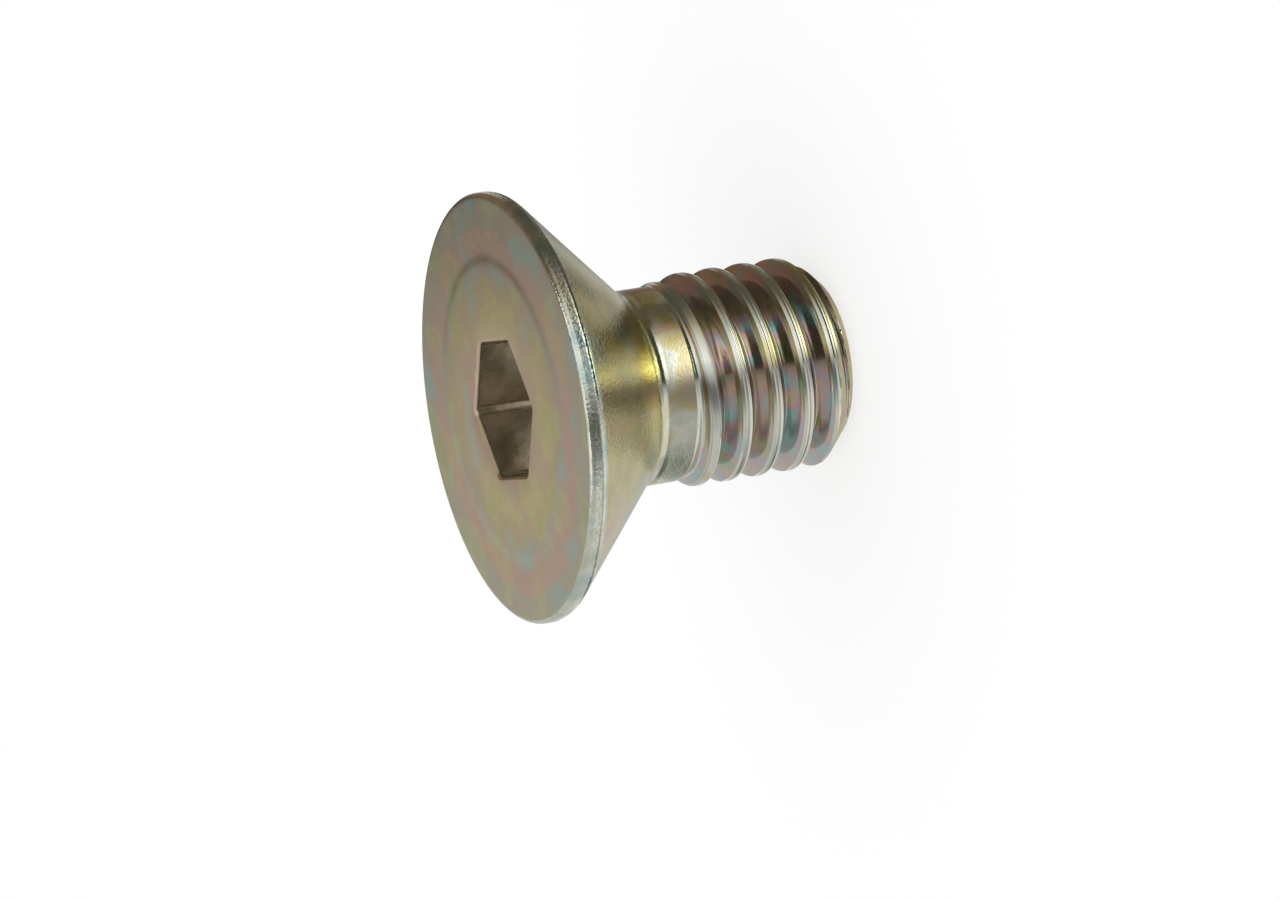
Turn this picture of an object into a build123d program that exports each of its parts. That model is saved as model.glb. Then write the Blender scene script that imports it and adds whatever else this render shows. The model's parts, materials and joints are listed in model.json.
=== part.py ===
"""M8 countersunk screw with a hexagon socket, standing on its point with the head up.

Millimetres. The screw's axis is Z: the point's end face lies on Z = 0 and the head's flat
face is the highest surface.
"""

import os
from math import ceil, radians, tan

from build123d import *

# Length and head
overall_length = 12.75
head_dia = 16.0
seat_angle = 92.0  # included angle of the conical seat
land_height = 0.56  # cylindrical rim, its rounded upper edge included
rim_round = 0.28
seat_edge_round = 0.12
under_head_round = 0.30

# Raised middle of the head's face
middle_dia = 10.8
middle_rise = 0.03
middle_slope_width = 0.25

# Hexagon socket
socket_across_flats = 5.02
socket_depth = 3.3
socket_bottom_dia = 4.9
socket_bottom_angle = 120.0
socket_mouth_bevel = 0.12
flat_direction = -2.57  # degrees from +X to the normal of the nearest flat

# Thread, right-hand
pitch = 1.25
thread_angle = 60.0
crest_dia = 7.95
crest_width = 0.26
thread_depth = 0.74
neck_drop = 0.325  # from the crests down to the neck's surface
crest_level = 1.31  # height of a crest where it crosses the +X side
full_crest_depth = 7.05  # from the head's face to the first crest of full height
full_root_depth = 7.45
neck_end_depth = 6.20
point_drop = 0.875  # from the crests down to the edge of the end face
point_angle = 45.0
ridge_foot_depth = 0.10  # how far the ridge is rooted in the core

head_r = head_dia / 2
crest_r = crest_dia / 2
root_r = crest_r - thread_depth
neck_r = crest_r - neck_drop
point_r = crest_r - point_drop
rim_level = overall_length - middle_rise
seat_top = rim_level - land_height
seat_slope = tan(radians(seat_angle / 2))
seat_bottom = seat_top - (head_r - neck_r) / seat_slope
neck_end_level = overall_length - neck_end_depth
joint_level = (2 * neck_end_level + seat_bottom) / 3  # in the neck, where shank meets head
socket_bottom_height = socket_bottom_dia / 2 / tan(radians(socket_bottom_angle / 2))
stock_margin = 0.30  # how far the untrimmed shank passes its trimmed form

# One turn of the thread's ridge, swept up the right-hand helix from the +X side
flank = tan(radians(thread_angle / 2))
ridge_foot_r = root_r - ridge_foot_depth
ridge_foot_half = crest_width / 2 + (crest_r - ridge_foot_r) * flank
with BuildPart() as turn:
    with BuildLine():
        Helix(pitch=pitch, height=pitch, radius=root_r)
    with BuildSketch(Plane.XZ):
        with BuildLine():
            Polyline(
                (ridge_foot_r, -ridge_foot_half),
                (crest_r, -crest_width / 2),
                (crest_r, crest_width / 2),
                (ridge_foot_r, ridge_foot_half),
                close=True,
            )
        make_face()
    sweep(is_frenet=True)

# Shank: the thread's roots, rising in a slow cone at the run-out, with the ridge wound on
run_out_slope = (full_root_depth - neck_end_depth) / (neck_r - root_r)
fade_slope = (full_crest_depth - neck_end_depth) / (crest_r - neck_r)
stock_r = crest_r + stock_margin
stock_bottom = -2 * pitch
stock_top = neck_end_level + (stock_r - neck_r) * run_out_slope
first_turn = crest_level % pitch - 2 * pitch
turns = ceil((neck_end_level + ridge_foot_half - first_turn) / pitch)
with BuildPart() as shank:
    with BuildSketch(Plane.YZ):
        with BuildLine():
            Polyline(
                (0, stock_bottom),
                (root_r, stock_bottom),
                (root_r, overall_length - full_root_depth),
                (stock_r, stock_top),
                (0, stock_top),
                close=True,
            )
        make_face()
    revolve(axis=Axis.Z)
    for number in range(turns):
        with Locations((0, 0, first_turn + number * pitch)):
            add(turn.part)

    # Trimmed to the bevelled point, the crests that fade out at the run-out and the plain neck
    with BuildSketch(Plane.YZ):
        with BuildLine():
            Polyline(
                (0, 0),
                (point_r, 0),
                (stock_r, (stock_r - point_r) / tan(radians(point_angle))),
                (stock_r, neck_end_level - (stock_r - neck_r) * fade_slope),
                (neck_r, neck_end_level),
                (neck_r, joint_level),
                (0, joint_level),
                close=True,
            )
        make_face()
    revolve(axis=Axis.Z, mode=Mode.INTERSECT)

# Head: upper neck, conical seat, rim and the face's raised middle
with BuildPart() as screw:
    with BuildSketch(Plane.YZ):
        with BuildLine():
            Polyline(
                (0, joint_level),
                (neck_r, joint_level),
                (neck_r, seat_bottom),
                (head_r, seat_top),
                (head_r, rim_level),
                (middle_dia / 2 + middle_slope_width, rim_level),
                (middle_dia / 2, overall_length),
                (0, overall_length),
                close=True,
            )
        outline = make_face()
        corners = outline.vertices()
        fillet(corners.sort_by_distance((neck_r, seat_bottom))[0], under_head_round)
        fillet(corners.sort_by_distance((head_r, seat_top))[0], seat_edge_round)
        fillet(corners.sort_by_distance((head_r, rim_level))[0], rim_round)
    revolve(axis=Axis.Z)

    # Socket with its conical bottom and bevelled mouth
    with BuildSketch(Plane.XY.offset(overall_length)):
        RegularPolygon(
            radius=socket_across_flats / 2,
            side_count=6,
            major_radius=False,
            rotation=flat_direction + 30,
        )
    extrude(amount=-socket_depth, mode=Mode.SUBTRACT)
    with Locations((0, 0, overall_length - socket_depth - socket_bottom_height / 2)):
        Cone(
            bottom_radius=0,
            top_radius=socket_bottom_dia / 2,
            height=socket_bottom_height,
            mode=Mode.SUBTRACT,
        )
    face = screw.faces().sort_by(Axis.Z)[-1]
    chamfer(face.inner_wires()[0].edges(), socket_mouth_bevel)

    # One solid: the head grows out of the neck
    add(shank.part)

screw.part.label = "screw"
os.makedirs("parts", exist_ok=True)
export_step(screw.part, "parts/screw.step")
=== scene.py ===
"""Dresses the countersunk screw: its mesh and plating, and the glowing cards that paint its
reflections, light, floor and camera.
"""

import json
import logging
from collections.abc import Sequence
from dataclasses import dataclass, field
from enum import Enum
from math import atan2, cos, hypot, pi, radians, sin, tan

import bmesh
import bpy
from mathutils import Matrix, Vector

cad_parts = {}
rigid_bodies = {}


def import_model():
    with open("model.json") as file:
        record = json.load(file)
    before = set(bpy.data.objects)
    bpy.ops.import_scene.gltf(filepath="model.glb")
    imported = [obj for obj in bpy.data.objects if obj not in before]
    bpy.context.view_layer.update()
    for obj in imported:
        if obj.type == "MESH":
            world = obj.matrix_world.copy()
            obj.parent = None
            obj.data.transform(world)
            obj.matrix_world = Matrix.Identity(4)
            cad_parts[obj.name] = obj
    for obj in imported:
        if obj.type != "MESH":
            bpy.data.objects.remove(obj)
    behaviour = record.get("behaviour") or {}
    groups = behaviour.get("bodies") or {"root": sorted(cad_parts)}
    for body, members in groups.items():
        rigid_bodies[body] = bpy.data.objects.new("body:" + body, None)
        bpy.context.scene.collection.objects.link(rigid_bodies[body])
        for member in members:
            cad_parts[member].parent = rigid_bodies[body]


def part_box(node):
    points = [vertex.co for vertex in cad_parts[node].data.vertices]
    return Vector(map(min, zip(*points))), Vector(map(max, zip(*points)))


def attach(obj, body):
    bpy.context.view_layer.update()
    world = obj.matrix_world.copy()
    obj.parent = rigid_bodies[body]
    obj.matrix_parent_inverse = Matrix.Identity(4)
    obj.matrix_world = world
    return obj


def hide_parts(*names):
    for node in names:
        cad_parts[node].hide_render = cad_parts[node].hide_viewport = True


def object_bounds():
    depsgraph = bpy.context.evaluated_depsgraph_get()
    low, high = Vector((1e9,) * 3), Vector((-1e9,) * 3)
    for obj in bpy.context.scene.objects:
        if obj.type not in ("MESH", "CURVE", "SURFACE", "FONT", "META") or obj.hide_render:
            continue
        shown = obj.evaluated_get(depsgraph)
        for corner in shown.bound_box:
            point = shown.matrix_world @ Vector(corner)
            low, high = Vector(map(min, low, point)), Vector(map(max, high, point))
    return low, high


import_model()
CAD_LOW, CAD_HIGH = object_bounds()

MM = 0.001
STEPS = 180  # segments round the screw, a multiple of the socket's six sides
CARD_STEPS = 72  # segments round a reflection card
WELD = 1e-8  # metres within which two corners of the mesh are one
SEAM = 1e-6  # the same, where one turn of the thread meets the next
RING_SLACK = 1e-6  # metres by which a corner may stray from the circle it belongs to
LEVEL_SLACK = 1e-7  # metres by which an open edge may stray from its level
CREASE = radians(30.0)  # edges that turn more than this stay crisp
NOISE_LOW, NOISE_HIGH = 0.3, 0.7  # range that a noise pattern mostly fills

log = logging.getLogger("screw")


class Zone(Enum):
    """Surfaces of the screw that take the plating differently, numbered as material slots."""

    FACE = 0
    RIM = 1
    SEAT = 2
    NECK = 3
    THREAD = 4
    SOCKET = 5
    POINT = 6
    FLANK = 7


@dataclass(frozen=True)
class Tone:
    """One colour of the plating and its place on a colour ramp.

    Attributes:
        colour: Linear red, green and blue.
        place: Position on the ramp, 0 to 1.
    """

    colour: tuple[float, float, float]
    place: float


@dataclass(frozen=True)
class Plating:
    """Yellow passivated zinc plating, whose thin film changes colour from patch to patch.

    Attributes:
        name: Material name.
        tones: Film colours of the patches along their ramp.
        patch: Size of the colour patches, in metres.
        roughness: Lowest and highest roughness.
        grain: Size of the surface grain, in metres.
        grain_depth: Height of the grain, in metres.
        rings: Film colours from the axis out to the rim; none leaves the patches alone.
        ring_share: How far the rings take over from the patches.
        ring_waver: How far the rings stray, as a share of the screw's radius.
        ring_wave: Size of the rings' waver, in patches.
        octaves: Layers of finer pattern in the patches, the wear and the waver.
        break_up: How strongly those layers break up the patches.
        grain_octaves: Layers of finer pattern in the grain.
    """

    name: str
    tones: tuple[Tone, ...]
    patch: float
    roughness: tuple[float, float]
    grain: float
    grain_depth: float
    rings: tuple[Tone, ...] = ()
    ring_share: float = 0.5
    ring_waver: float = 0.30
    ring_wave: float = 2.5
    octaves: float = 3.0
    break_up: float = 0.45
    grain_octaves: float = 2.0

    def build(self) -> bpy.types.Material:
        """Makes the node material.

        Returns:
            The material, reading Object coordinates only.
        """
        material = bpy.data.materials.new(self.name)
        material.use_nodes = True
        tree = material.node_tree
        shader = tree.nodes["Principled BSDF"]
        shader.inputs["Metallic"].default_value = 1.0
        place = tree.nodes.new("ShaderNodeTexCoord").outputs["Object"]
        self._colour(tree, place, shader)
        self._wear(tree, place, shader)
        self._grain(tree, place, shader)
        return material

    def _colour(
        self,
        tree: bpy.types.NodeTree,
        place: bpy.types.NodeSocket,
        shader: bpy.types.Node,
    ) -> None:
        """Colours the film in patches, with rings over them where the finish has rings.

        Args:
            tree: Node tree to add to.
            place: Output with the coordinates.
            shader: Surface shader.
        """
        patches = self._noise(tree, place, self.patch, self.octaves)
        patches.inputs["Roughness"].default_value = self.break_up
        film = self._ramp(tree, patches.outputs["Fac"], self.tones)
        if self.rings:
            film = self._ringed(tree, place, film)
        tree.links.new(film, shader.inputs["Base Color"])

    def _wear(
        self,
        tree: bpy.types.NodeTree,
        place: bpy.types.NodeSocket,
        shader: bpy.types.Node,
    ) -> None:
        """Varies the roughness in patches a third as big as those of the colour.

        Args:
            tree: Node tree to add to.
            place: Output with the coordinates.
            shader: Surface shader.
        """
        wear = self._noise(tree, place, self.patch / 3, self.octaves)
        rough = tree.nodes.new("ShaderNodeMapRange")
        rough.inputs["From Min"].default_value = NOISE_LOW
        rough.inputs["From Max"].default_value = NOISE_HIGH
        rough.inputs["To Min"].default_value = self.roughness[0]
        rough.inputs["To Max"].default_value = self.roughness[1]
        tree.links.new(wear.outputs["Fac"], rough.inputs["Value"])
        tree.links.new(rough.outputs["Result"], shader.inputs["Roughness"])

    def _grain(
        self,
        tree: bpy.types.NodeTree,
        place: bpy.types.NodeSocket,
        shader: bpy.types.Node,
    ) -> None:
        """Roughens the surface with a fine grain.

        Args:
            tree: Node tree to add to.
            place: Output with the coordinates.
            shader: Surface shader.
        """
        grain = self._noise(tree, place, self.grain, self.grain_octaves)
        bump = tree.nodes.new("ShaderNodeBump")
        bump.inputs["Strength"].default_value = 1.0
        bump.inputs["Distance"].default_value = self.grain_depth
        tree.links.new(grain.outputs["Fac"], bump.inputs["Height"])
        tree.links.new(bump.outputs["Normal"], shader.inputs["Normal"])

    def _noise(
        self,
        tree: bpy.types.NodeTree,
        place: bpy.types.NodeSocket,
        size: float,
        octaves: float,
    ) -> bpy.types.Node:
        """Adds a noise pattern.

        Args:
            tree: Node tree to add to.
            place: Output with the coordinates.
            size: Size of the pattern, in metres.
            octaves: Layers of finer pattern.

        Returns:
            The noise node.
        """
        noise = tree.nodes.new("ShaderNodeTexNoise")
        noise.inputs["Scale"].default_value = 1.0 / size
        noise.inputs["Detail"].default_value = octaves
        tree.links.new(place, noise.inputs["Vector"])
        return noise

    def _ramp(
        self,
        tree: bpy.types.NodeTree,
        value: bpy.types.NodeSocket,
        tones: tuple[Tone, ...],
    ) -> bpy.types.NodeSocket:
        """Turns a value into film colours.

        Args:
            tree: Node tree to add to.
            value: Output with the position on the ramp.
            tones: Colours along the ramp.

        Returns:
            The colour output.
        """
        node = tree.nodes.new("ShaderNodeValToRGB")
        ramp = node.color_ramp
        while len(ramp.elements) < len(tones):
            ramp.elements.new(0.5)
        for element, tone in zip(ramp.elements, tones):
            element.position = tone.place
            element.color = (*tone.colour, 1.0)
        tree.links.new(value, node.inputs["Fac"])
        return node.outputs["Color"]

    def _ringed(
        self,
        tree: bpy.types.NodeTree,
        place: bpy.types.NodeSocket,
        film: bpy.types.NodeSocket,
    ) -> bpy.types.NodeSocket:
        """Lays wavering rings round the axis over the patches.

        Args:
            tree: Node tree to add to.
            place: Output with the coordinates.
            film: Colour of the patches.

        Returns:
            The colour output.
        """
        flat = tree.nodes.new("ShaderNodeVectorMath")
        flat.operation = "MULTIPLY"
        flat.inputs[1].default_value = (1.0, 1.0, 0.0)
        tree.links.new(place, flat.inputs[0])
        radius = tree.nodes.new("ShaderNodeVectorMath")
        radius.operation = "LENGTH"
        tree.links.new(flat.outputs["Vector"], radius.inputs[0])
        share = tree.nodes.new("ShaderNodeMath")
        share.operation = "DIVIDE"
        share.inputs[1].default_value = CAD_HIGH[0]
        tree.links.new(radius.outputs["Value"], share.inputs[0])
        waver = self._noise(tree, place, self.ring_wave * self.patch, self.octaves)
        shifted = tree.nodes.new("ShaderNodeMath")
        shifted.operation = "MULTIPLY_ADD"
        shifted.inputs[1].default_value = self.ring_waver
        tree.links.new(waver.outputs["Fac"], shifted.inputs[0])
        tree.links.new(share.outputs["Value"], shifted.inputs[2])
        rings = self._ramp(tree, shifted.outputs["Value"], self.rings)
        mix = tree.nodes.new("ShaderNodeMix")
        mix.data_type = "RGBA"
        mix.inputs["Factor"].default_value = self.ring_share
        tree.links.new(film, mix.inputs["A"])
        tree.links.new(rings, mix.inputs["B"])
        return mix.outputs["Result"]


OLIVE = (0.56, 0.52, 0.24)
STRAW = (0.66, 0.58, 0.31)
SALMON = (0.62, 0.45, 0.34)
SAGE = (0.46, 0.51, 0.38)
PALE = (0.72, 0.72, 0.62)
PLUM = (0.56, 0.47, 0.49)
ROSE = (0.61, 0.51, 0.42)
TEAL = (0.45, 0.56, 0.53)
BRONZE = (0.60, 0.55, 0.44)
NICKEL = (0.66, 0.61, 0.53)

FINISHES = {
    Zone.FACE: Plating(
        name="face_plating",
        tones=(
            Tone(TEAL, 0.34),
            Tone(SALMON, 0.44),
            Tone(SALMON, 0.50),
            Tone(STRAW, 0.56),
            Tone(OLIVE, 0.64),
        ),
        patch=2.2 * MM,
        roughness=(0.36, 0.44),
        grain=0.10 * MM,
        grain_depth=0.0015 * MM,
        rings=(
            Tone(SALMON, 0.48),
            Tone(STRAW, 0.62),
            Tone(OLIVE, 0.75),
            Tone(SAGE, 0.82),
            Tone(SALMON, 0.90),
            Tone(SALMON, 1.00),
            Tone(SAGE, 1.00),
        ),
    ),
    Zone.RIM: Plating(
        name="rim_plating",
        tones=(Tone(TEAL, 0.35), Tone(PALE, 0.50), Tone(SAGE, 0.70)),
        patch=1.6 * MM,
        roughness=(0.07, 0.12),
        grain=0.13 * MM,
        grain_depth=0.016 * MM,
    ),
    Zone.SEAT: Plating(
        name="seat_plating",
        tones=(
            Tone(SAGE, 0.30),
            Tone(OLIVE, 0.44),
            Tone(STRAW, 0.56),
            Tone(SALMON, 0.70),
        ),
        patch=2.0 * MM,
        roughness=(0.07, 0.13),
        grain=0.12 * MM,
        grain_depth=0.010 * MM,
    ),
    Zone.NECK: Plating(
        name="neck_plating",
        tones=(Tone(SAGE, 0.32), Tone(PALE, 0.46), Tone(STRAW, 0.58), Tone(ROSE, 0.70)),
        patch=1.6 * MM,
        roughness=(0.10, 0.18),
        grain=0.10 * MM,
        grain_depth=0.003 * MM,
    ),
    Zone.THREAD: Plating(
        name="thread_plating",
        tones=(
            Tone(TEAL, 0.32),
            Tone(PALE, 0.46),
            Tone(PALE, 0.58),
            Tone(STRAW, 0.72),
        ),
        patch=2.4 * MM,
        roughness=(0.10, 0.16),
        grain=0.12 * MM,
        grain_depth=0.0012 * MM,
    ),
    Zone.FLANK: Plating(
        name="flank_plating",
        tones=(Tone(TEAL, 0.38), Tone(PLUM, 0.46), Tone(ROSE, 0.55), Tone(SAGE, 0.66)),
        patch=1.1 * MM,
        roughness=(0.10, 0.16),
        grain=0.12 * MM,
        grain_depth=0.0015 * MM,
    ),
    Zone.SOCKET: Plating(
        name="socket_plating",
        tones=(Tone(BRONZE, 0.40), Tone(NICKEL, 0.52), Tone(BRONZE, 0.65)),
        patch=1.6 * MM,
        roughness=(0.20, 0.30),
        grain=1.00 * MM,
        grain_depth=0.030 * MM,
    ),
    Zone.POINT: Plating(
        name="point_plating",
        tones=(Tone(STRAW, 0.40), Tone(SALMON, 0.60)),
        patch=2.0 * MM,
        roughness=(0.38, 0.46),
        grain=0.10 * MM,
        grain_depth=0.003 * MM,
    ),
}


def sweep_ring(
    bm: bmesh.types.BMesh,
    edges: list[bmesh.types.BMEdge],
    move: Matrix,
) -> list[bmesh.types.BMEdge]:
    """Extrudes an open ring of edges and moves the new ring.

    Args:
        bm: Mesh that holds the ring.
        edges: Edges of the ring.
        move: Transform of the new ring.

    Returns:
        The new ring's edges.
    """
    out = bmesh.ops.extrude_edge_only(bm, edges=edges)["geom"]
    verts = {g for g in out if isinstance(g, bmesh.types.BMVert)}
    bmesh.ops.transform(bm, matrix=move, verts=list(verts))
    return [
        g
        for g in out
        if isinstance(g, bmesh.types.BMEdge) and verts.issuperset(g.verts)
    ]


def drawn_in(share: float, rise: float = 0.0) -> Matrix:
    """Transform that draws a ring towards the Z axis and moves it along it.

    Args:
        share: Scale across the axis.
        rise: Movement along the axis in metres.

    Returns:
        The transform.
    """
    return Matrix.Translation((0, 0, rise)) @ Matrix.Diagonal((share, share, 1, 1))


def ring_at(
    bm: bmesh.types.BMesh, radius: float, level: float
) -> list[bmesh.types.BMEdge]:
    """Finds the edges that run round the axis at a radius and a level.

    Args:
        bm: Mesh to search.
        radius: Distance from the axis.
        level: Height.

    Returns:
        Edges whose both ends lie on that circle.
    """

    def on(v: bmesh.types.BMVert) -> bool:
        """Tells whether a vertex lies on the circle."""
        off_circle = abs(hypot(v.co.x, v.co.y) - radius)
        return abs(v.co.z - level) < RING_SLACK and off_circle < RING_SLACK

    return [e for e in bm.edges if on(e.verts[0]) and on(e.verts[1])]


def open_ring(bm: bmesh.types.BMesh, level: float) -> list[bmesh.types.BMEdge]:
    """Finds the open edges that lie at a level.

    Args:
        bm: Mesh to search.
        level: Height.

    Returns:
        Boundary edges whose both ends lie there.
    """
    return [
        e
        for e in bm.edges
        if e.is_boundary and all(abs(v.co.z - level) < LEVEL_SLACK for v in e.verts)
    ]


def spin_outline(
    bm: bmesh.types.BMesh,
    outline: Sequence[tuple[float, float]],
    azimuth: float,
    steps: int,
) -> None:
    """Spins an outline once round the Z axis.

    Args:
        bm: Mesh to add to.
        outline: Radius and level of its points.
        azimuth: Direction in which the outline starts, from +X towards +Y.
        steps: Segments of the turn.
    """
    east, north = cos(azimuth), sin(azimuth)
    verts = [bm.verts.new((r * east, r * north, z)) for r, z in outline]
    edges = [bm.edges.new(pair) for pair in zip(verts, verts[1:])]
    bmesh.ops.spin(
        bm,
        geom=verts + edges,
        cent=(0, 0, 0),
        axis=(0, 0, 1),
        angle=2 * pi,
        steps=steps,
        use_merge=True,
    )


def in_scene(bm: bmesh.types.BMesh, name: str) -> bpy.types.Object:
    """Puts a finished mesh in the scene as an object at the origin.

    Args:
        bm: The mesh, which is freed.
        name: Name of the object and of its mesh.

    Returns:
        The object.
    """
    mesh = bpy.data.meshes.new(name)
    bm.to_mesh(mesh)
    bm.free()
    thing = bpy.data.objects.new(name, mesh)
    bpy.context.scene.collection.objects.link(thing)
    return thing


def hump(place: float) -> float:
    """Height of a smooth hump that is 1 at 0 and fades to 0 at 1 on both sides."""
    return 0.5 + 0.5 * cos(pi * place) if abs(place) < 1.0 else 0.0


@dataclass
class Head:
    """Countersunk head with its hexagon socket, down to the plain neck.

    Attributes:
        top: Level of the face's middle.
        radius: Radius of the rim.
        neck_r: Radius of the neck.
        joint_level: Level at which the neck passes to the shank.
        middle_r: Radius of the face's raised middle.
        middle_rise: Height of the raised middle over the face's outer band.
        middle_slope: Width of the slope round the raised middle.
        step_round: Rounding of that slope's upper and lower edge.
        land: Height of the cylindrical rim.
        seat_angle: Included angle of the conical seat.
        rim_round: Rounding of the rim's upper edge.
        seat_round: Rounding of the edge between the rim and the seat.
        under_round: Rounding of the corner between the seat and the neck.
        face_support: Distance of the ring beside the rim's upper edge on the face, in roundings.
        land_support: Distance of the rings beside the land's two edges, in roundings.
        neck_support: Distance of the ring under the seat's corner, in roundings.
        seat_rings: Places of the seat's rings, as shares of the way down it.
        across_flats: Width of the hexagon socket.
        flat_direction: Direction of one of its flats, from +X towards +Y.
        surround_r: Radius at which the turned face passes to the socket's mouth.
        socket_depth: Depth of its walls.
        bottom_r: Radius of its conical bottom.
        bottom_angle: Included angle of its conical bottom.
        mouth_round: Rounding of its mouth.
        mouth_steps: Rings that make up that rounding.
        corner_cut: How far its corners are cut back.
        rim_level: Level of the face's outer band.
        seat_top: Level of the seat's upper edge.
        seat_bottom: Level of the seat's lower edge.
    """

    top: float
    radius: float
    neck_r: float = 3.65 * MM
    joint_level: float = 7.20 * MM
    middle_r: float = 5.40 * MM
    middle_rise: float = 0.03 * MM
    middle_slope: float = 0.30 * MM
    step_round: float = 0.12 * MM
    land: float = 0.56 * MM
    seat_angle: float = radians(92.0)
    rim_round: float = 0.20 * MM
    seat_round: float = 0.12 * MM
    under_round: float = 0.30 * MM
    face_support: float = 1.4
    land_support: float = 1.15
    neck_support: float = 1.5
    seat_rings: tuple[float, ...] = (0.05, 0.5, 0.9)
    across_flats: float = 5.02 * MM
    flat_direction: float = radians(-2.57)
    surround_r: float = 3.514 * MM
    socket_depth: float = 3.30 * MM
    bottom_r: float = 2.45 * MM
    bottom_angle: float = radians(120.0)
    mouth_round: float = 0.12 * MM
    mouth_steps: int = 5
    corner_cut: float = 0.07 * MM
    rim_level: float = field(init=False)
    seat_top: float = field(init=False)
    seat_bottom: float = field(init=False)

    def __post_init__(self) -> None:
        """Works out the levels that follow from the sizes."""
        self.rim_level = self.top - self.middle_rise
        self.seat_top = self.rim_level - self.land
        seat_height = (self.radius - self.neck_r) / tan(self.seat_angle / 2)
        self.seat_bottom = self.seat_top - seat_height

    def build(self, bm: bmesh.types.BMesh) -> None:
        """Adds the head to a mesh, open at the neck.

        Args:
            bm: Mesh to add to.
        """
        self._turned_form(bm)
        self._round_edges(bm)
        self._socket(bm)

    def _turned_form(self, bm: bmesh.types.BMesh) -> None:
        """Spins the outline from the socket's surround over the rim and down to the neck.

        Rings beside the roundings keep the bands between them flat under smooth shading. The
        outline starts over a corner of the socket, so that each corner falls on a segment's edge.

        Args:
            bm: Mesh to add to.
        """
        outline = [
            (self.surround_r, self.top),
            (self.middle_r - self.middle_slope, self.top),
            (self.middle_r, self.top),
            (self.middle_r + self.middle_slope, self.rim_level),
            (self.middle_r + 2 * self.middle_slope, self.rim_level),
            (self.radius - self.face_support * self.rim_round, self.rim_level),
            (self.radius, self.rim_level),
            (self.radius, self.rim_level - self.land_support * self.rim_round),
            (self.radius, self.seat_top + self.land_support * self.seat_round),
            (self.radius, self.seat_top),
            *(self._on_seat(share) for share in self.seat_rings),
            (self.neck_r, self.seat_bottom),
            (self.neck_r, self.seat_bottom - self.neck_support * self.under_round),
            (self.neck_r, self.joint_level),
        ]
        spin_outline(bm, outline, self.flat_direction + pi / 6, STEPS)
        bmesh.ops.remove_doubles(bm, verts=bm.verts[:], dist=WELD)

    def _on_seat(self, share: float) -> tuple[float, float]:
        """Radius and level of the seat a share of the way down it."""
        return (
            self.radius + share * (self.neck_r - self.radius),
            self.seat_top + share * (self.seat_bottom - self.seat_top),
        )

    def _round_edges(self, bm: bmesh.types.BMesh) -> None:
        """Rounds the rim's two edges, the corner under the head and the slope's two edges.

        Args:
            bm: Mesh that holds the turned form.
        """
        slope_foot = self.middle_r + self.middle_slope
        rounds = (  # radius and level of the edge, its rounding and the rounding's segments
            (self.radius, self.rim_level, self.rim_round, 6),
            (self.radius, self.seat_top, self.seat_round, 4),
            (self.neck_r, self.seat_bottom, self.under_round, 5),
            (self.middle_r, self.top, self.step_round, 3),
            (slope_foot, self.rim_level, self.step_round, 3),
        )
        for radius, level, size, segments in rounds:
            bmesh.ops.bevel(
                bm,
                geom=ring_at(bm, radius, level),
                offset=size,
                affect="EDGES",
                segments=segments,
                profile=0.5,
                material=-1,
                offset_type="OFFSET",
            )

    def _socket(self, bm: bmesh.types.BMesh) -> None:
        """Joins the face to a hexagon, rolls its mouth in and sinks it to its conical bottom.

        Args:
            bm: Mesh that holds the turned form.
        """
        flat_r = self.across_flats / 2
        mouth_r = flat_r + self.mouth_round
        corner_r = mouth_r / cos(pi / 6) - self.corner_cut
        surround = ring_at(bm, self.surround_r, self.top)
        ring = sweep_ring(bm, surround, Matrix.Identity(4))
        for vert in {v for e in ring for v in e.verts}:
            azimuth = atan2(vert.co.y, vert.co.x) - self.flat_direction
            off_flat = (azimuth + pi / 6) % (pi / 3) - pi / 6
            wall_r = min(mouth_r / cos(off_flat), corner_r)
            vert.co.xy = vert.co.xy.normalized() * wall_r

        width, level = mouth_r, self.top
        for step in range(1, self.mouth_steps + 1):
            turned = pi / 2 * step / self.mouth_steps
            new_width = flat_r + self.mouth_round * (1 - sin(turned))
            new_level = self.top - self.mouth_round * (1 - cos(turned))
            ring = sweep_ring(bm, ring, drawn_in(new_width / width, new_level - level))
            width, level = new_width, new_level
        for depth in (2 * self.mouth_round, self.socket_depth):
            ring = sweep_ring(bm, ring, drawn_in(1.0, self.top - depth - level))
            level = self.top - depth
        ring = sweep_ring(bm, ring, Matrix.Identity(4))
        for vert in {v for e in ring for v in e.verts}:
            vert.co.xy = vert.co.xy.normalized() * self.bottom_r
        sink = self.bottom_r / tan(self.bottom_angle / 2)
        ring = sweep_ring(bm, ring, drawn_in(0.5, -0.5 * sink))
        sweep_ring(bm, ring, drawn_in(0.0, -0.5 * sink))
        bmesh.ops.remove_doubles(bm, verts=bm.verts[:], dist=WELD)


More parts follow.
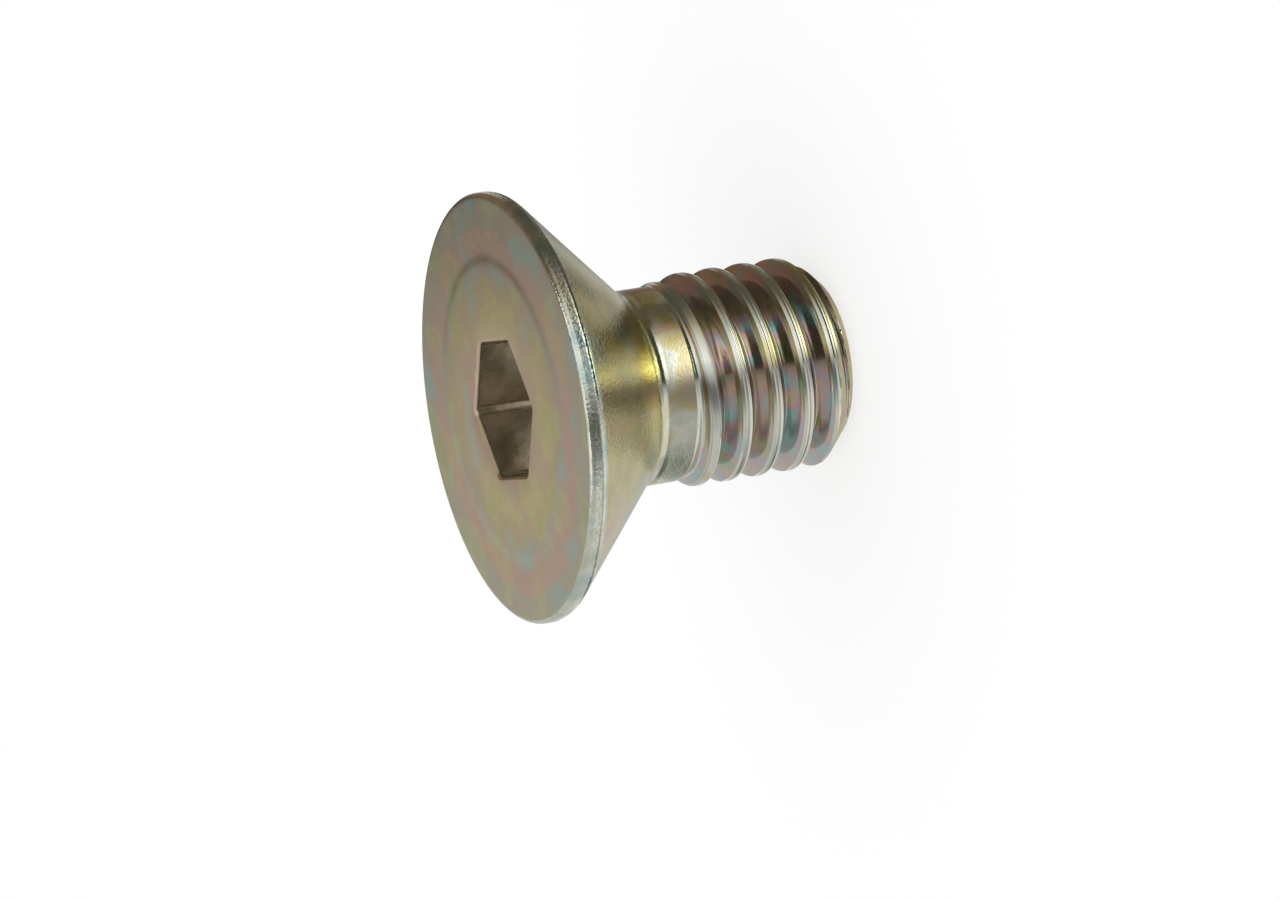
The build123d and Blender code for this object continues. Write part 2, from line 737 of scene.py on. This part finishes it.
@dataclass
class Shank:
    """Right-hand threaded shank that runs out at the neck and ends in a bevelled point.

    Attributes:
        neck_r: Radius of the plain neck.
        joint_level: Level at which the shank passes to the head's neck.
        pitch: Rise of the thread in one turn.
        flank_angle: Angle between a flank and a plane across the axis.
        crest_r: Radius over the crests.
        crest_width: Width of a crest.
        root_r: Radius at the roots.
        crest_level: Level of a crest where it crosses the +X side.
        neck_end: Level at which the thread fades out into the neck.
        full_crest: Highest level at which the crests stand at their full radius.
        full_root: Highest level at which the roots lie at their full depth.
        point_r: Radius of the end face.
        point_angle: Angle between the point's bevel and the axis.
        crest_dip: Depth of the hollow along the middle of a crest.
        crest_round: How far the crest's edges are rounded off.
        foot_round: How far the corners at the root are filled.
        corner_reach: How far the rounding reaches to both sides of a corner.
        flank_cuts: Corners added along a flank of the section.
        crest_cuts: Corners added along a crest of the section.
        turns: Turns wound before the trimming, from below the point to above the neck's end.
        sharpest: Highest power that narrows the ridge as it fades.
        snap: Distance from a cut within which a corner is moved onto it.
        lip_share: Inner radius of the end face's flat lip, as a share of its outer radius.
        dish_share: Radius of the dish's floor, as a share of the lip's inner radius.
        dish_depth: Depth of the dish in the end face.
    """

    neck_r: float
    joint_level: float
    pitch: float = 1.25 * MM
    flank_angle: float = radians(30.0)
    crest_r: float = 3.975 * MM
    crest_width: float = 0.38 * MM
    root_r: float = 3.235 * MM
    crest_level: float = 1.31 * MM
    neck_end: float = 6.55 * MM
    full_crest: float = 5.70 * MM
    full_root: float = 5.30 * MM
    point_r: float = 3.10 * MM
    point_angle: float = radians(45.0)
    crest_dip: float = 0.022 * MM
    crest_round: float = 0.05 * MM
    foot_round: float = 0.015 * MM
    corner_reach: float = 0.12 * MM
    flank_cuts: int = 13
    crest_cuts: int = 9
    turns: int = 8
    sharpest: float = 6.0
    snap: float = 0.002 * MM
    lip_share: float = 0.94
    dish_share: float = 0.75
    dish_depth: float = 0.05 * MM

    def build(self, bm: bmesh.types.BMesh) -> None:
        """Adds the shank to a mesh, open at the joint with the neck.

        Args:
            bm: Mesh to add to.
        """
        self._wind_thread(bm)
        self._limit(bm)
        self._trim(bm)
        self._close_point(bm)

    def _wind_thread(self, bm: bmesh.types.BMesh) -> None:
        """Winds the thread's section once up the helix and stacks the turns.

        Args:
            bm: Empty mesh to wind in.
        """
        start = self.crest_level - 2 * self.pitch  # below the point's end
        crest_half = self.crest_width / 2
        foot_half = crest_half + (self.crest_r - self.root_r) * tan(self.flank_angle)
        section = [
            (self.root_r, start - self.pitch / 2),
            (self.root_r, start - foot_half),
            (self.crest_r, start - crest_half),
            (self.crest_r, start + crest_half),
            (self.root_r, start + foot_half),
            (self.root_r, start + self.pitch / 2),
        ]
        verts = [bm.verts.new((r, 0.0, z)) for r, z in section]
        edges = [bm.edges.new(pair) for pair in zip(verts, verts[1:])]
        bmesh.ops.subdivide_edges(bm, edges=[edges[1], edges[3]], cuts=self.flank_cuts)
        bmesh.ops.subdivide_edges(bm, edges=[edges[2]], cuts=self.crest_cuts)
        self._soften_section(bm, start, foot_half)
        bmesh.ops.spin(
            bm,
            geom=bm.verts[:] + bm.edges[:],
            cent=(0, 0, 0),
            axis=(0, 0, 1),
            dvec=(0, 0, self.pitch / STEPS),
            angle=2 * pi,
            steps=STEPS,
            use_merge=False,
        )
        turn = bm.verts[:] + bm.edges[:] + bm.faces[:]
        for number in range(1, self.turns):
            copy = bmesh.ops.duplicate(bm, geom=turn)["geom"]
            bmesh.ops.translate(
                bm,
                vec=(0, 0, number * self.pitch),
                verts=[g for g in copy if isinstance(g, bmesh.types.BMVert)],
            )
        bmesh.ops.remove_doubles(bm, verts=bm.verts[:], dist=SEAM)

    def _soften_section(
        self, bm: bmesh.types.BMesh, start: float, foot_half: float
    ) -> None:
        """Rounds the section's corners and sinks the middle of the rolled crest a little.

        Args:
            bm: Mesh that holds only the section.
            start: Level of the section's crest.
            foot_half: Half the width of the ridge at its root.
        """
        crest_half = self.crest_width / 2
        for vert in bm.verts:
            off = abs(vert.co.z - start)
            dip = self.crest_dip * hump(off / crest_half)
            edge = self.crest_round * hump((crest_half - off) / self.corner_reach)
            foot = self.foot_round * hump((foot_half - off) / self.corner_reach)
            vert.co.x += foot - edge - dip

    def bevel_r(self, level: float) -> float:
        """Radius of the point's bevel at a level, carried on past the bevel's upper end."""
        return self.point_r + max(0.0, level) * tan(self.point_angle)

    def _limit(self, bm: bmesh.types.BMesh) -> None:
        """Draws the thread in to the point's bevel and fades it out into the neck.

        Over the run-out the crests sink and the roots rise to the neck's radius. The ridge keeps
        its form between the two and gets narrower as it gets lower.

        Args:
            bm: Mesh that holds the wound thread.
        """
        fade = (self.crest_r - self.neck_r) / (self.neck_end - self.full_crest)
        fill = (self.neck_r - self.root_r) / (self.neck_end - self.full_root)
        ridge = self.crest_r - self.root_r
        for vert in bm.verts:
            level = vert.co.z
            radius = hypot(vert.co.x, vert.co.y)
            below_neck = max(0.0, self.neck_end - level)
            most = min(self.crest_r, self.neck_r + fade * below_neck)
            least = max(self.root_r, self.neck_r - fill * below_neck)
            height = max(0.0, (radius - self.root_r) / ridge)
            height **= min(self.sharpest, ridge / max(most - least, WELD))
            wanted = min(least + height * (most - least), self.bevel_r(level))
            vert.co.xy *= wanted / radius

    def _trim(self, bm: bmesh.types.BMesh) -> None:
        """Cuts the winding off level at the point's end and at the joint.

        Args:
            bm: Mesh that holds the limited thread.
        """
        for level, up in ((0.0, -1.0), (self.joint_level, 1.0)):
            bmesh.ops.bisect_plane(
                bm,
                geom=bm.verts[:] + bm.edges[:] + bm.faces[:],
                dist=self.snap,
                plane_co=(0, 0, level),
                plane_no=(0, 0, up),
                use_snap_center=True,
                clear_outer=True,
            )
        bmesh.ops.remove_doubles(bm, verts=bm.verts[:], dist=WELD)

    def _close_point(self, bm: bmesh.types.BMesh) -> None:
        """Closes the end face with a flat lip and a shallow dish.

        Args:
            bm: Mesh that holds the trimmed thread.
        """
        lip = sweep_ring(bm, open_ring(bm, 0.0), drawn_in(self.lip_share))
        dish = sweep_ring(bm, lip, drawn_in(self.dish_share, self.dish_depth))
        sweep_ring(bm, dish, drawn_in(0.0))
        bmesh.ops.remove_doubles(bm, verts=bm.verts[:], dist=WELD)


@dataclass
class Screw:
    """The whole screw as one closed mesh with its plating.

    Attributes:
        low: Lowest corner of the CAD node.
        high: Highest corner of the CAD node.
        joint_gap: How far the head and the shank draw back from their joint before it is bridged.
        face_depth: How far down from the face its finish reaches.
        rim_share: Share of the rim's rounding that has the rim's finish.
        flank_lean: Least vertical part of a flank's unit normal, up or down.
        skin: How far inside the point's bevel the middle of its faces may lie.
        head: The head.
        shank: The shank.
    """

    low: Vector
    high: Vector
    joint_gap: float = 0.02 * MM
    face_depth: float = 0.10 * MM
    rim_share: float = 0.8
    flank_lean: float = 0.6
    skin: float = 0.01 * MM
    head: Head = field(init=False)
    shank: Shank = field(init=False)

    def __post_init__(self) -> None:
        """Sizes the head and the shank from the CAD node's box."""
        radius = (self.high[0] - self.low[0]) / 2
        self.head = Head(top=self.high[2], radius=radius)
        self.shank = Shank(
            neck_r=self.head.neck_r, joint_level=self.head.joint_level
        )

    def build(self) -> bpy.types.Object:
        """Models the screw, zones its surfaces and puts it in the CAD node's place.

        Returns:
            The finished object.
        """
        bm = bmesh.new()
        self.shank.build(bm)
        log.info("shank: %d faces", len(bm.faces))
        upper = bmesh.new()
        self.head.build(upper)
        log.info("head: %d faces", len(upper.faces))
        part = bpy.data.meshes.new("head_part")
        upper.to_mesh(part)
        upper.free()
        bm.from_mesh(part)
        bpy.data.meshes.remove(part)
        self._join(bm, open_ring(bm, self.head.joint_level))
        bmesh.ops.recalc_face_normals(bm, faces=bm.faces[:])
        self._zone(bm)
        self._shade(bm)
        screw = in_scene(bm, "screw_body")
        for zone in Zone:
            screw.data.materials.append(FINISHES[zone].build())
        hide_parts("screw")
        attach(screw, "root")
        return screw

    def _join(self, bm: bmesh.types.BMesh, joint: list[bmesh.types.BMEdge]) -> None:
        """Bridges the shank's upper edge and the head's neck.

        Args:
            bm: Mesh that holds both.
            joint: The two open rings' edges.
        """
        for vert in {v for e in joint for v in e.verts}:
            above = any(f.calc_center_median().z > vert.co.z for f in vert.link_faces)
            vert.co.z += self.joint_gap if above else -self.joint_gap
        bmesh.ops.bridge_loops(bm, edges=joint)
        bmesh.ops.remove_doubles(bm, verts=bm.verts[:], dist=WELD)

    def _zone(self, bm: bmesh.types.BMesh) -> None:
        """Gives each face the finish of the surface it lies on.

        Args:
            bm: The screw's mesh.
        """
        head, shank = self.head, self.shank
        hollow_r = (head.neck_r + head.across_flats / 2) / 2
        rim_r = head.radius - self.rim_share * head.rim_round
        for face in bm.faces:
            middle = face.calc_center_median()
            radius = hypot(middle.x, middle.y)
            if radius > shank.bevel_r(middle.z) - self.skin:
                zone = Zone.POINT
            elif middle.z < shank.neck_end:
                steep = abs(face.normal.z) > self.flank_lean
                zone = Zone.FLANK if steep else Zone.THREAD
            elif radius < hollow_r and middle.z < head.top - self.face_depth:
                zone = Zone.SOCKET
            elif middle.z < head.seat_bottom:
                zone = Zone.NECK
            elif radius > rim_r:
                zone = Zone.RIM
            elif middle.z > head.rim_level - self.face_depth:
                zone = Zone.FACE
            else:
                zone = Zone.SEAT
            face.material_index = zone.value

    def _shade(self, bm: bmesh.types.BMesh) -> None:
        """Smooths every face and keeps the corners crisp.

        Args:
            bm: The screw's mesh.
        """
        for face in bm.faces:
            face.smooth = True
        for edge in bm.edges:
            if len(edge.link_faces) == 2 and edge.calc_face_angle() > CREASE:
                edge.smooth = False


@dataclass(frozen=True)
class Glow:
    """Light of a reflection card in one direction.

    Attributes:
        azimuth: Direction from the screw in degrees, from -Y towards +X.
        brightness: How bright the card is there; 1 is white.
        colour: Linear red, green and blue.
    """

    azimuth: float
    brightness: float
    colour: tuple[float, float, float] = (1.0, 1.0, 1.0)


@dataclass(frozen=True)
class PaintedReflectionCard:
    """Glowing ring of graded card round the screw, seen only in the screw's metal, where it paints
    reflections: painted highlights where it is bright, painted shade where it is dark.

    Attributes:
        name: Object name.
        profile: Radius and height of the points that the card is spun from.
        glows: Its light from -180 degrees round to 180, in order, graded from one to the next.
    """

    name: str
    profile: tuple[tuple[float, float], ...]
    glows: tuple[Glow, ...]

    def build(self) -> bpy.types.Object:
        """Spins the card round the screw.

        Returns:
            The card object.
        """
        bm = bmesh.new()
        spin_outline(bm, self.profile, 0.0, CARD_STEPS)
        card = in_scene(bm, self.name)
        card.data.materials.append(self._glow_for_reflections())
        # Hidden from the camera, from diffuse light and from shadows, the card only paints
        # reflections into the metal.
        card.visible_camera = False
        card.visible_diffuse = False
        card.visible_shadow = False
        card.visible_transmission = False
        return card

    def _glow_for_reflections(self) -> bpy.types.Material:
        """Makes the card's own light, graded round the Z axis: a glow that paints the screw's
        reflections.

        Returns:
            The material.
        """
        material = bpy.data.materials.new(self.name)
        material.use_nodes = True
        nodes, links = material.node_tree.nodes, material.node_tree.links
        nodes.remove(nodes["Principled BSDF"])
        place = nodes.new("ShaderNodeTexCoord")
        axes = nodes.new("ShaderNodeSeparateXYZ")
        links.new(place.outputs["Object"], axes.inputs[0])
        front = nodes.new("ShaderNodeMath")
        front.operation = "MULTIPLY"
        front.inputs[1].default_value = -1.0
        links.new(axes.outputs["Y"], front.inputs[0])
        turn = nodes.new("ShaderNodeMath")
        turn.operation = "ARCTAN2"
        links.new(axes.outputs["X"], turn.inputs[0])
        links.new(front.outputs["Value"], turn.inputs[1])
        share = nodes.new("ShaderNodeMapRange")
        share.inputs["From Min"].default_value = -pi
        share.inputs["From Max"].default_value = pi
        links.new(turn.outputs["Value"], share.inputs["Value"])
        graded = nodes.new("ShaderNodeValToRGB")
        links.new(share.outputs["Result"], graded.inputs["Fac"])
        peak = self._grade(graded.color_ramp)
        shine = nodes.new("ShaderNodeEmission")
        shine.inputs["Strength"].default_value = peak
        links.new(graded.outputs["Color"], shine.inputs["Color"])
        surface = nodes["Material Output"].inputs["Surface"]
        links.new(shine.outputs["Emission"], surface)
        return material

    def _grade(self, ramp: bpy.types.ColorRamp) -> float:
        """Sets a ramp's stops to the glows, as shares of the brightest one.

        Args:
            ramp: Ramp with its two first stops, at 0 and 1.

        Returns:
            The brightest glow's brightness.
        """
        peak = max(glow.brightness for glow in self.glows)
        first, last = ramp.elements[0], ramp.elements[1]
        first.color = self._tint(self.glows[0], peak)
        last.color = self._tint(self.glows[-1], peak)
        for glow in self.glows[1:-1]:
            stop = ramp.elements.new((glow.azimuth + 180.0) / 360.0)
            stop.color = self._tint(glow, peak)
        return peak

    @staticmethod
    def _tint(glow: Glow, peak: float) -> tuple[float, float, float, float]:
        """Colour of a glow as a share of the peak, with alpha."""
        red, green, blue = (glow.brightness / peak * c for c in glow.colour)
        return (red, green, blue, 1.0)


# The glowing cards lie below the floor, which the metal doesn't show, so the metal shows their
# painted reflections in its place.
TABLE = -9.0 * MM  # level of the cards that lie under the screw
WALL_R = 95.0 * MM  # radius of the card that stands round them
WALL_TOP = 190.0 * MM
# Tints of the cards' painted reflections: umber in the dark sectors, amber in the painted
# highlights, copper in reddish reflections.
UMBER_REFLECTION_TINT = (1.0, 0.90, 0.66)
COPPER_REFLECTION_TINT = (1.0, 0.62, 0.45)
AMBER_REFLECTION_TINT = (1.0, 0.97, 0.52)


def flat_reflection_card(
    name: str, inner: float, outer: float, glows: tuple[Glow, ...]
) -> PaintedReflectionCard:
    """Describes a flat glowing ring of card that lies under the screw and paints reflections into
    its metal.

    Args:
        name: Object name.
        inner: Inner radius in millimetres.
        outer: Outer radius in millimetres.
        glows: Its light.

    Returns:
        The card.
    """
    return PaintedReflectionCard(name, ((inner * MM, TABLE), (outer * MM, TABLE)), glows)


# Each card is named after the part of the screw whose reflections it paints: its bright sectors
# paint highlights, its dark sectors paint shade.
PAINTED_REFLECTION_CARDS = (
    flat_reflection_card("point_painted_reflection", 0.01, 6.0, (Glow(-180.0, 0.65), Glow(180.0, 0.65))),
    flat_reflection_card("seat_painted_reflection", 6.0, 13.0, (
        Glow(-180.0, 0.45), Glow(-150.0, 0.65), Glow(-110.0, 0.65),
        Glow(-60.0, 0.85), Glow(-40.0, 0.80), Glow(-28.0, 0.60),
        Glow(-10.0, 0.28), Glow(2.0, 0.36), Glow(8.0, 0.90, AMBER_REFLECTION_TINT),
        Glow(16.0, 1.80, AMBER_REFLECTION_TINT), Glow(27.0, 2.80, AMBER_REFLECTION_TINT), Glow(38.0, 1.70, AMBER_REFLECTION_TINT),
        Glow(50.0, 0.85, AMBER_REFLECTION_TINT), Glow(64.0, 0.36, AMBER_REFLECTION_TINT), Glow(90.0, 0.25, UMBER_REFLECTION_TINT),
        Glow(120.0, 0.30, UMBER_REFLECTION_TINT), Glow(140.0, 0.45), Glow(180.0, 0.45),
    )),
    flat_reflection_card("groove_painted_reflection", 13.0, 28.3, (
        Glow(-180.0, 0.55), Glow(-110.0, 0.72), Glow(-75.0, 0.90),
        Glow(-40.0, 0.90), Glow(-20.0, 0.78), Glow(-8.0, 0.58),
        Glow(-4.0, 0.44), Glow(-1.0, 0.08, UMBER_REFLECTION_TINT), Glow(60.0, 0.06, UMBER_REFLECTION_TINT),
        Glow(80.0, 0.12, UMBER_REFLECTION_TINT), Glow(130.0, 0.13, UMBER_REFLECTION_TINT), Glow(150.0, 0.50),
        Glow(180.0, 0.55),
    )),
    flat_reflection_card("crest_painted_reflection", 28.3, 41.0, (
        Glow(-180.0, 0.60), Glow(-145.0, 0.50), Glow(-128.0, 0.20),
        Glow(-110.0, 0.18), Glow(-95.0, 0.32), Glow(-70.0, 0.45),
        Glow(-40.0, 0.50), Glow(-20.0, 0.30), Glow(-10.0, 0.28),
        Glow(-2.0, 0.45), Glow(3.0, 1.10), Glow(15.0, 2.00),
        Glow(30.0, 2.10), Glow(40.0, 1.50), Glow(50.0, 0.80),
        Glow(60.0, 0.35), Glow(72.0, 0.12, UMBER_REFLECTION_TINT), Glow(98.0, 0.10, UMBER_REFLECTION_TINT),
        Glow(108.0, 0.25, UMBER_REFLECTION_TINT), Glow(130.0, 0.25, UMBER_REFLECTION_TINT), Glow(142.0, 0.20, COPPER_REFLECTION_TINT),
        Glow(160.0, 0.30), Glow(180.0, 0.60),
    )),
    flat_reflection_card("neck_painted_reflection", 41.0, 55.0, (
        Glow(-180.0, 1.10), Glow(-150.0, 0.90), Glow(-90.0, 0.60),
        Glow(-50.0, 0.52), Glow(-20.0, 0.32), Glow(-8.0, 0.38),
        Glow(2.0, 0.58), Glow(10.0, 0.85), Glow(20.0, 1.00),
        Glow(36.0, 0.95), Glow(44.0, 0.85, AMBER_REFLECTION_TINT), Glow(52.0, 0.70, AMBER_REFLECTION_TINT),
        Glow(60.0, 0.55, COPPER_REFLECTION_TINT), Glow(70.0, 0.28, UMBER_REFLECTION_TINT), Glow(85.0, 0.14, UMBER_REFLECTION_TINT),
        Glow(165.0, 0.10, UMBER_REFLECTION_TINT), Glow(180.0, 0.30),
    )),
    flat_reflection_card("rim_painted_reflection", 55.0, 95.0, (
        Glow(-180.0, 0.60), Glow(-120.0, 0.60), Glow(-75.0, 0.80),
        Glow(-50.0, 0.88), Glow(-42.0, 0.65), Glow(-32.0, 0.35),
        Glow(-22.0, 0.14), Glow(-12.0, 0.10), Glow(-4.0, 0.26),
        Glow(6.0, 0.44), Glow(14.0, 0.50), Glow(24.0, 0.20),
        Glow(55.0, 0.16), Glow(75.0, 0.11, UMBER_REFLECTION_TINT), Glow(130.0, 0.11, UMBER_REFLECTION_TINT),
        Glow(145.0, 0.50), Glow(180.0, 0.60),
    )),
    PaintedReflectionCard("wall_painted_reflection", ((WALL_R, TABLE), (WALL_R, WALL_TOP)), (
        Glow(-180.0, 0.60), Glow(-60.0, 0.64), Glow(-45.0, 0.52),
        Glow(-34.0, 0.28), Glow(-22.0, 0.18), Glow(-12.0, 0.22),
        Glow(-4.0, 0.50), Glow(6.0, 0.90), Glow(16.0, 1.20),
        Glow(28.0, 1.00), Glow(45.0, 0.72), Glow(58.0, 0.45, UMBER_REFLECTION_TINT),
        Glow(70.0, 0.20, UMBER_REFLECTION_TINT), Glow(85.0, 0.11, UMBER_REFLECTION_TINT), Glow(110.0, 0.12, UMBER_REFLECTION_TINT),
        Glow(130.0, 0.20, COPPER_REFLECTION_TINT), Glow(152.0, 0.24, COPPER_REFLECTION_TINT), Glow(162.0, 0.09, UMBER_REFLECTION_TINT),
        Glow(174.0, 0.07, UMBER_REFLECTION_TINT), Glow(176.0, 0.60), Glow(180.0, 0.60),
    )),
)


@dataclass(frozen=True)
class SoftBox:
    """Square lamp that faces the screw.

    Attributes:
        name: Lamp name.
        place: Position in metres.
        power: Power in watts.
        size: Side in metres.
    """

    name: str
    place: tuple[float, float, float]
    power: float
    size: float = 0.30

    def build(self, target: Vector) -> bpy.types.Object:
        """Hangs the lamp in its place.

        Args:
            target: Point that it faces.

        Returns:
            The lamp object.
        """
        data = bpy.data.lights.new(self.name, "AREA")
        data.shape = "SQUARE"
        data.size = self.size
        data.energy = self.power
        lamp = bpy.data.objects.new(self.name, data)
        lamp.location = self.place
        aim = target - Vector(self.place)
        lamp.rotation_euler = aim.to_track_quat("-Z", "Y").to_euler()
        bpy.context.scene.collection.objects.link(lamp)
        return lamp


LAMPS = (
    SoftBox("key", (-0.16, -0.20, 0.30), 0.25),
    SoftBox("fill", (0.22, -0.10, 0.30), 0.12),
)


@dataclass
class Studio:
    """Floor, light and camera round the standing screw.

    Attributes:
        target: Centre of the head's face.
        floor_size: Side of the square floor.
        floor_grey: Floor's own colour.
        floor_white: How far plain white takes over from the floor's shading for the camera.
        view_tilt: Angle from the screw's axis to the line of sight.
        view_roll: Rise of the screw's axis across the picture.
        distance: Distance from the camera to the target, along the line of sight.
        to_right: How far the target lies to the right of the picture's centre.
        downwards: How far the target lies below the picture's centre.
        lens: Focal length in millimetres.
        sensor: Width of the sensor in millimetres.
        near: Distance at which the camera starts to see.
    """

    target: Vector
    floor_size: float = 0.60
    floor_grey: float = 0.90
    floor_white: float = 0.72
    view_tilt: float = radians(67.66)
    view_roll: float = radians(9.475)
    distance: float = 235.0 * MM
    to_right: float = -5.033 * MM
    downwards: float = -1.485 * MM
    lens: float = 180.3
    sensor: float = 36.0
    near: float = 10.0 * MM

    def build(self) -> None:
        """Sets the floor, the world, the lamps, the glowing cards that paint the screw's
        reflections, and the camera.
        """
        self._floor()
        log.info("floor: %.2f m square", self.floor_size)
        self._world()
        for lamp in LAMPS:
            lamp.build(self.target)
            log.info("lamp: %s", lamp.name)
        for card in PAINTED_REFLECTION_CARDS:
            card.build()
            log.info("card: %s", card.name)
        self._camera()
        log.info("camera: %.1f mm lens", self.lens)

    def _floor(self) -> None:
        """Lays a plain white floor under the screw, which the screw's metal doesn't show."""
        bm = bmesh.new()
        bmesh.ops.create_grid(bm, x_segments=1, y_segments=1, size=self.floor_size / 2)
        floor = in_scene(bm, "floor")
        floor.visible_glossy = False
        floor.data.materials.append(self._floor_paint())

    def _floor_paint(self) -> bpy.types.Material:
        """Makes a matt pale paint that the camera sees nearer to plain white.

        Returns:
            The material.
        """
        material = bpy.data.materials.new("floor_white")
        material.use_nodes = True
        nodes, links = material.node_tree.nodes, material.node_tree.links
        shader = nodes["Principled BSDF"]
        grey = self.floor_grey
        shader.inputs["Base Color"].default_value = (grey, grey, grey, 1.0)
        shader.inputs["Roughness"].default_value = 0.9
        shader.inputs["Specular IOR Level"].default_value = 0.0
        white = nodes.new("ShaderNodeEmission")
        path = nodes.new("ShaderNodeLightPath")
        share = nodes.new("ShaderNodeMath")
        share.operation = "MULTIPLY"
        share.inputs[1].default_value = self.floor_white
        links.new(path.outputs["Is Camera Ray"], share.inputs[0])
        mix = nodes.new("ShaderNodeMixShader")
        links.new(share.outputs["Value"], mix.inputs["Fac"])
        links.new(shader.outputs["BSDF"], mix.inputs[1])
        links.new(white.outputs["Emission"], mix.inputs[2])
        links.new(mix.outputs["Shader"], nodes["Material Output"].inputs["Surface"])
        return material

    def _world(self) -> None:
        """Lights the room with a plain white world, which also shows behind the screw."""
        world = bpy.data.worlds.new("studio")
        bpy.context.scene.world = world
        world.use_nodes = True
        room = world.node_tree.nodes["Background"]
        room.inputs["Color"].default_value = (1.0, 1.0, 1.0, 1.0)
        room.inputs["Strength"].default_value = 1.0

    def _camera(self) -> None:
        """Points a long lens at the screw, leaned over so that its axis runs across the picture."""
        tilt, roll = self.view_tilt, self.view_roll
        right = Vector((-sin(roll), -cos(tilt) * cos(roll), -sin(tilt) * cos(roll)))
        down = Vector((-cos(roll), cos(tilt) * sin(roll), sin(tilt) * sin(roll)))
        away = Vector((0, sin(tilt), -cos(tilt)))
        offset = self.to_right * right + self.downwards * down
        place = self.target - (offset + self.distance * away)
        data = bpy.data.cameras.new("camera")
        data.sensor_width = self.sensor
        data.lens = self.lens
        data.clip_start = self.near
        camera = bpy.data.objects.new("camera", data)
        turn = Matrix((right, -down, -away)).transposed()
        camera.matrix_world = Matrix.Translation(place) @ turn.to_4x4()
        bpy.context.scene.collection.objects.link(camera)
        bpy.context.scene.camera = camera


def main() -> None:
    """Builds the screw and the studio."""
    logging.basicConfig(level=logging.INFO, format="%(message)s")
    bpy.context.scene.view_settings.view_transform = "Standard"
    low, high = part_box("screw")
    screw = Screw(Vector(low), Vector(high))
    body = screw.build()
    log.info("screw body: %d faces", len(body.data.polygons))
    Studio(target=Vector((0.0, 0.0, screw.head.top))).build()


if __name__ == "__main__":
    main()
